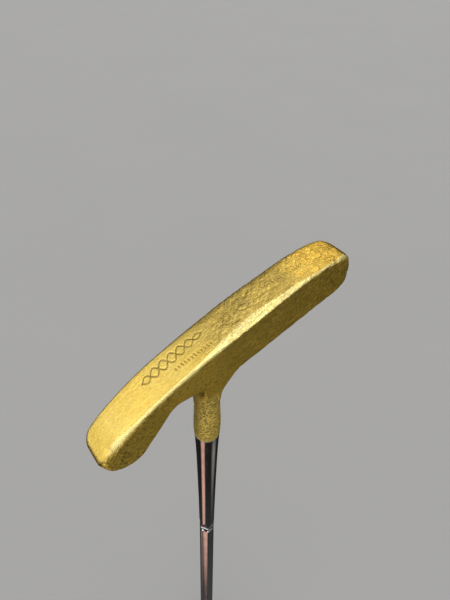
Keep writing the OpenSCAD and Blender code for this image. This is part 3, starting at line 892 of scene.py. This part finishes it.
def brass():
    """Cast brass: polished on the sole, dull and specked on the faces, stippled on the neck."""
    m = Shader("cast_brass")
    place = m.vector("cast")
    axes = m.add("SeparateXYZ", {0: place}).outputs
    along, across = axes["X"], axes["Y"]
    sole, edge, crease_highlight = m.mask("sole"), m.mask("worn_edge"), m.mask("crease_highlight")
    neck, rim, cut = m.mask("neck"), m.mask("rim"), m.mask("engraved")
    aside = m.inverse(sole)
    toe = m.step(along, 8.0, 50.0)
    heel = m.step(along, -40.0, -58.0)
    centre = m.times(m.step(along, -22.0, 2.0), m.step(toe, 0.3, 0.9, 1.0, 0.0))
    broad = m.noise(place, 16.0, 3.0)
    middle = m.noise(place, 3.2, 4.0, 0.6, 0.6)
    fine = m.noise(place, 0.7, 4.0, 0.7)

    # The metal itself, then tarnish on the middle of the sole and a dull skin on the faces.
    colour = m.blend(m.step(broad, 0.35, 0.65), BRASS["light"], BRASS["deep"])
    colour = m.blend(m.times(toe, 0.75), colour, BRASS["toe"])
    tarnish = m.step(m.plus(middle, m.times(broad, 0.5)), 0.55, 0.95, 0.4, 0.95)
    share = m.times(tarnish, m.step(centre, 0.0, 1.0, 0.1, 0.9))
    colour = m.blend(share, colour, BRASS["tarnish"])
    dull = m.times(aside, m.step(middle, 0.3, 0.7, 0.55, 0.95))
    colour = m.blend(dull, colour, BRASS["face"])

    # Dark specks and rust on the faces, most of them at the heel.
    speck = m.step(m.noise(place, 1.1, 3.0, 0.7), 0.54, 0.60)
    share = m.times(m.step(aside, 0.6, 1.0), m.step(heel, 0.0, 1.0, 0.55, 0.9))
    colour = m.blend(m.times(speck, share), colour, BRASS["speck"])
    rust = m.step(m.noise(place, 1.9, 3.0), 0.66, 0.74)
    rust = m.times(rust, m.times(aside, m.plus(heel, 0.25)))
    colour = m.blend(m.times(rust, 0.7), colour, BRASS["rust"])

    # Grime in the engraving, and painted shade along the sole's far edge and round the toe.
    grimy = m.step(along, -6.0, -9.0, 0.6, 0.9)
    colour = m.blend(m.times(cut, grimy), colour, BRASS["cut"])
    far_edge_shade = m.times(sole, m.step(across, -4.8, -7.0))
    far_edge_shade = m.times(far_edge_shade, m.step(along, -34.0, -2.0, 0.15, 1.0))
    far_edge_shade = m.either(far_edge_shade, m.times(sole, m.step(along, 51.5, 56.0, 0.0, 0.8)))
    share = m.times(far_edge_shade, m.step(middle, 0.3, 0.6, 1.0, 0.65))
    colour = m.blend(share, colour, BRASS["far_edge_shade"])

    # Edges rubbed bright, and a painted highlight along the crease at the front of the sole.
    share = m.times(m.times(edge, m.inverse(far_edge_shade)), m.step(middle, 0.25, 0.6, 0.25, 0.7))
    colour = m.blend(share, colour, BRASS["edge"])
    colour = m.blend(m.times(crease_highlight, 0.85), colour, BRASS["crease_highlight"])

    # The neck: sandy pits, painted shade on its far half, and the turned line by the rim.
    colour = m.blend(m.times(neck, 0.9), colour, BRASS["neck"])
    stipple = m.step(m.noise(place, 1.0, 3.0, 0.75), 0.42, 0.56)
    pits = m.times(neck, m.inverse(stipple))
    colour = m.blend(m.times(pits, 0.8), colour, BRASS["pit"])
    far_side_shade = m.times(neck, m.step(across, 3.4, 0.0))
    colour = m.blend(m.times(far_side_shade, 0.65), colour, BRASS["far_neck_shade"])
    colour = m.blend(m.times(rim, 0.6), colour, BRASS["rim"])

    lines, gouges = brass_scratches(m, place, centre, toe)
    colour = m.blend(m.times(lines, m.step(toe, 0.0, 1.0, 0.34, 0.1)), colour, BRASS["scratch"])
    colour = m.blend(m.times(gouges, m.step(crease_highlight, 0.0, 1.0, 0.5, 0.1)), colour, BRASS["gouge"])
    rough = m.step(middle, 0.25, 0.75, 0.12, 0.26)
    for mask, share in ((aside, 0.20), (neck, 0.10), (edge, -0.04), (fine, 0.06)):
        rough = m.plus(rough, m.times(mask, share))
    m.set(Base_Color=colour, Metallic=m.inverse(m.times(neck, 0.35)), Roughness=rough)
    m.set(Specular_Tint=(0.95, 0.72, 0.30, 1.0))

    ripple = m.noise(place, 1.3, 4.0, 0.65)
    m.bump(m.times(ripple, m.step(aside, 0.0, 1.0, 0.16, 0.8)), 0.07, 0.7)
    m.bump(m.times(stipple, neck), 0.14, 0.9)
    m.bump(gouges, -0.10, 0.8)
    m.bump(lines, -0.035, 0.7)
    m.bump(m.times(fine, m.step(neck, 0.0, 1.0, 0.04, 0.5)), 0.10, 0.7)
    return m.material


def chrome():
    m = Shader("chromed_steel")
    place = m.millimetres()
    drawn = m.noise(m.scaled(place, (1, 1, 0.04)), 0.35, 3.0)
    cloudy = m.noise(place, 9.0, 4.0)
    colour = m.blend(m.step(cloudy, 0.35, 0.7), (0.62, 0.63, 0.66), (0.54, 0.55, 0.58))
    spots = m.step(m.noise(place, 0.9, 3.0), 0.70, 0.76)
    colour = m.blend(m.times(spots, 0.45), colour, (0.30, 0.24, 0.20))
    rough = m.step(cloudy, 0.3, 0.7, 0.07, 0.14)
    rough = m.plus(rough, m.times(spots, 0.2))
    m.set(Base_Color=colour, Metallic=1.0, Roughness=rough)
    m.bump(drawn, 0.004, 0.5)
    return m.material


def leather():
    m = Shader("grip_leather")
    place, strip, seam = m.millimetres(), m.vector("strip"), m.mask("seam")
    grain = m.cells(place, 0.9, "DISTANCE_TO_EDGE")
    pebble = m.step(grain, 0.0, 0.16)
    broad = m.noise(place, 14.0, 3.0)
    handled = m.step(m.noise(place, 26.0, 2.0), 0.42, 0.62)
    # One hole in the middle of each square of a lattice that runs along the strip.
    kind, lattice = "VectorMath", m.scaled(strip, (0.24, 0.24, 0))
    shifted = m.add(kind, {0: lattice, 1: (0.5, 0.06, 0)})
    square = m.add(kind, {0: shifted.outputs[0]}, operation="FRACTION")
    offset = m.add(kind, {0: square.outputs[0], 1: (0.5, 0.5, 0)}, operation="DISTANCE")
    hole = m.step(offset.outputs["Value"], 0.13, 0.19, 1.0, 0.0)
    hole = m.times(hole, m.step(seam, 3.0, 3.2))
    colour = m.blend(m.step(broad, 0.3, 0.7), (0.060, 0.030, 0.016), (0.036, 0.018, 0.011))
    colour = m.blend(m.times(handled, 0.45), colour, (0.095, 0.050, 0.026))
    creases = m.inverse(pebble)
    colour = m.blend(m.times(creases, 0.5), colour, (0.018, 0.009, 0.006))
    near_seam = m.step(seam, 0.4, 1.6, 1.0, 0.0)
    colour = m.blend(m.times(near_seam, 0.8), colour, (0.014, 0.008, 0.006))
    colour = m.blend(hole, colour, (0.004, 0.003, 0.002))
    rough = m.step(broad, 0.3, 0.7, 0.42, 0.58)
    rough = m.plus(m.plus(rough, m.times(handled, -0.10)), m.times(hole, 0.3))
    m.set(Base_Color=colour, Roughness=rough)
    m.bump(pebble, 0.10, 0.7)
    m.bump(m.noise(place, 0.5, 4.0), 0.05, 0.5)
    m.bump(m.step(hole, 0.0, 1.0, 1.0, 0.0), 0.5, 0.9)
    return m.material


def moulded(name, light, dark, rough, grain=0.5, depth=0.05):
    """Rubber or plastic: fine moulded grain, dust in its low spots, and scuffs."""
    m = Shader(name)
    place = m.millimetres()
    broad = m.noise(place, 8.0, 3.0)
    fine = m.noise(place, grain, 4.0)
    colour = m.blend(m.step(broad, 0.3, 0.7), dark, light)
    scuffs = m.scratches(place, (0.4, 0.2, 0.8), 0.015)
    pale = tuple(min(1.0, c * 2.6 + 0.02) for c in light)
    colour = m.blend(m.times(scuffs, 0.4), colour, pale)
    colour = m.blend(m.step(fine, 0.60, 0.75, 0.0, 0.4), colour, pale)
    m.set(Base_Color=colour, Roughness=m.step(fine, 0.3, 0.7, rough - 0.07, rough + 0.08))
    m.bump(fine, depth, 0.6)
    m.bump(scuffs, -0.02, 0.6)
    return m.material


def epoxy():
    m = Shader("epoxy")
    place = m.millimetres()
    broad, fine = m.noise(place, 3.0, 3.0), m.noise(place, 0.6, 3.0)
    colour = m.blend(m.step(broad, 0.3, 0.7), (0.50, 0.42, 0.22), (0.40, 0.33, 0.18))
    m.set(Base_Color=colour, Roughness=m.step(fine, 0.3, 0.7, 0.18, 0.34))
    m.bump(fine, 0.05, 0.5)
    return m.material


def cork():
    m = Shader("cork")
    place = m.millimetres()
    grains = m.cells(place, 1.1, out="Color")
    tone = m.add("SeparateColor", {0: grains}).outputs[0]
    fine = m.noise(place, 0.4, 4.0)
    colour = m.blend(tone, (0.36, 0.20, 0.09), (0.56, 0.36, 0.18))
    colour = m.blend(m.step(fine, 0.62, 0.72), colour, (0.12, 0.06, 0.03))
    m.set(Base_Color=colour, Roughness=m.step(fine, 0.3, 0.7, 0.75, 0.95))
    m.bump(m.cells(place, 1.1), 0.15, 0.7)
    return m.material


def paper():
    m = Shader("paper_tape")
    place = m.millimetres()
    fibres = m.noise(m.scaled(place, (1, 1, 0.3)), 0.5, 5.0, 0.7)
    bands = m.wave(place, 0.02, "Z", 1.5)
    colour = m.blend(fibres, (0.62, 0.52, 0.36), (0.76, 0.68, 0.52))
    colour = m.blend(m.step(bands, 0.8, 1.0, 0.0, 0.3), colour, (0.45, 0.36, 0.22))
    m.set(Base_Color=colour, Roughness=m.step(fibres, 0.3, 0.7, 0.7, 0.9))
    m.bump(fibres, 0.04, 0.6)
    return m.material


def fabric():
    m = Shader("binding_fabric")
    place = m.millimetres()
    cloth = m.times(m.wave(place, 0.9, "Z"), m.wave(place, 0.9, "X"))
    broad = m.noise(place, 5.0, 3.0)
    colour = m.blend(cloth, (0.012, 0.012, 0.013), (0.05, 0.05, 0.052))
    colour = m.blend(m.step(broad, 0.5, 0.8, 0.0, 0.4), colour, (0.09, 0.085, 0.08))
    m.set(Base_Color=colour, Roughness=m.step(cloth, 0.0, 1.0, 0.85, 0.65))
    m.bump(cloth, 0.1, 0.6)
    return m.material


def wood():
    m = Shader("plug_wood")
    place = m.millimetres()
    rings = m.wave(place, 0.25, "X", 3.0, 3.0)
    grain = m.noise(m.scaled(place, (1, 1, 0.08)), 0.4, 4.0)
    colour = m.blend(rings, (0.52, 0.34, 0.17), (0.36, 0.21, 0.10))
    colour = m.blend(m.step(grain, 0.5, 0.8, 0.0, 0.5), colour, (0.24, 0.13, 0.06))
    m.set(Base_Color=colour, Roughness=m.step(grain, 0.3, 0.7, 0.55, 0.75))
    m.bump(grain, 0.08, 0.6)
    return m.material


def steel():
    m = Shader("tack_steel")
    place = m.millimetres()
    turned = m.noise(m.scaled(place, (0.4, 3, 3)), 0.6, 3.0)
    marks = m.noise(place, 1.2, 4.0)
    colour = m.blend(m.step(marks, 0.35, 0.7), (0.58, 0.57, 0.55), (0.42, 0.39, 0.36))
    colour = m.blend(m.step(marks, 0.68, 0.76, 0.0, 0.6), colour, (0.22, 0.12, 0.07))
    m.set(Base_Color=colour, Metallic=1.0, Roughness=m.step(turned, 0.3, 0.7, 0.25, 0.45))
    m.bump(turned, 0.02, 0.6)
    return m.material


# -------------------- stage


def make_camera():
    """Camera just above and in front of the heel, looking down on the sole."""
    place = Vector((-57.5 * MM, -78.2 * MM, GROUND + 111.4 * MM))
    right = Vector((0.78825, -0.61454, 0.03158))
    up = Vector((0.41091, 0.56387, 0.71639))
    data = bpy.data.cameras.new("camera")
    data.lens = 25
    data.sensor_width = 36
    data.clip_start = 0.005
    camera = bpy.data.objects.new("camera", data)
    turn = Matrix((right, up, right.cross(up))).transposed()
    camera.matrix_world = Matrix.Translation(place) @ turn.to_4x4()
    bpy.context.scene.collection.objects.link(camera)
    bpy.context.scene.camera = camera


def make_floor():
    size = 20
    corners = [(-size, -size, 0), (size, -size, 0), (size, size, 0), (-size, size, 0)]
    floor = new_object("floor", corners, [(0, 1, 2, 3)])
    m = Shader("pale_floor")
    tone = m.noise(m.millimetres(), 600.0, 2.0)
    m.set(Base_Color=m.blend(tone, FLOOR_TONES[0], FLOOR_TONES[1]), Roughness=0.9)
    floor.data.materials.append(m.material)
    floor.visible_glossy = False


def make_lights():
    """A soft room: a bright ceiling, dim low walls, and a few soft patches for the metal."""
    world = bpy.data.worlds.new("room")
    bpy.context.scene.world = world
    world.use_nodes = True
    room = Nodes(world.node_tree)
    direction = room.add("TexCoord").outputs["Generated"]
    height = room.add("SeparateXYZ", {0: direction}).outputs["Z"]
    position = room.add("MapRange", {"Value": height, "From Min": -1}).outputs[0]
    sky = room.add("ValToRGB", {0: position})
    stops = sky.color_ramp.elements
    stops[0].color, stops[1].color = (*SKY[0][1], 1), (*SKY[-1][1], 1)
    for z, colour in SKY[1:-1]:
        stops.new((z + 1) / 2).color = (*colour, 1)
    total = sky.outputs["Color"]
    for azimuth, elevation, inner, outer, colour in PATCHES:
        a, e = math.radians(azimuth), math.radians(elevation)
        axis = (math.cos(a) * math.cos(e), math.sin(a) * math.cos(e), math.sin(e))
        facing = room.add("VectorMath", {0: direction, 1: axis}, operation="DOT_PRODUCT")
        low, high = math.cos(math.radians(outer)), math.cos(math.radians(inner))
        patch = room.step(facing.outputs["Value"], low, high)
        tinted = room.add("VectorMath", {0: colour, "Scale": patch}, operation="SCALE")
        total = room.add("VectorMath", {0: total, 1: tinted.outputs[0]}).outputs[0]
    reflected = room.tree.nodes["Background"]
    room.put(reflected.inputs["Color"], total)
    plain = room.add("Background", {"Color": (*BACKDROP, 1)})
    seen = room.add("LightPath").outputs["Is Camera Ray"]
    choice = room.add("MixShader", {0: seen, 1: reflected.outputs[0], 2: plain.outputs[0]})
    room.put(room.tree.nodes["World Output"].inputs["Surface"], choice.outputs[0])
    bpy.context.scene.view_settings.view_transform = "Standard"


def finish_piece(piece, material, slot, *nodes):
    piece.data.materials.append(material)
    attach(piece, "root")
    if nodes:
        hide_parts(*nodes)


def coat(node, material):
    """Gives a CAD node its material."""
    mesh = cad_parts[node].data
    if not mesh.materials:
        mesh.materials.append(material)
    for i in range(len(mesh.materials)):
        mesh.materials[i] = material


make_camera()
make_floor()
make_lights()
finish_piece(make_head(), brass(), "cast_brass", "head")
finish_piece(make_shaft(), chrome(), "chromed_steel", "shaft")
finish_piece(make_leather(), leather(), "grip_leather", "leather_wrap")
rubber = moulded("grip_rubber", (0.030, 0.030, 0.031), (0.016, 0.016, 0.017), 0.62)
finish_piece(make_collar(), rubber, "grip_rubber", "grip_collar")
plastic = moulded("cap_plastic", (0.020, 0.020, 0.021), (0.010, 0.010, 0.011), 0.38, 0.8, 0.03)
finish_piece(make_cap(), plastic, "cap_plastic", "butt_cap")
coat("underlisting", rubber)
coat("hosel_adhesive", epoxy())
coat("tip_plug", cork())
coat("grip_tape", paper())
coat("binding_tape", fabric())
coat("butt_plug", wood())
coat("cap_tack", steel())
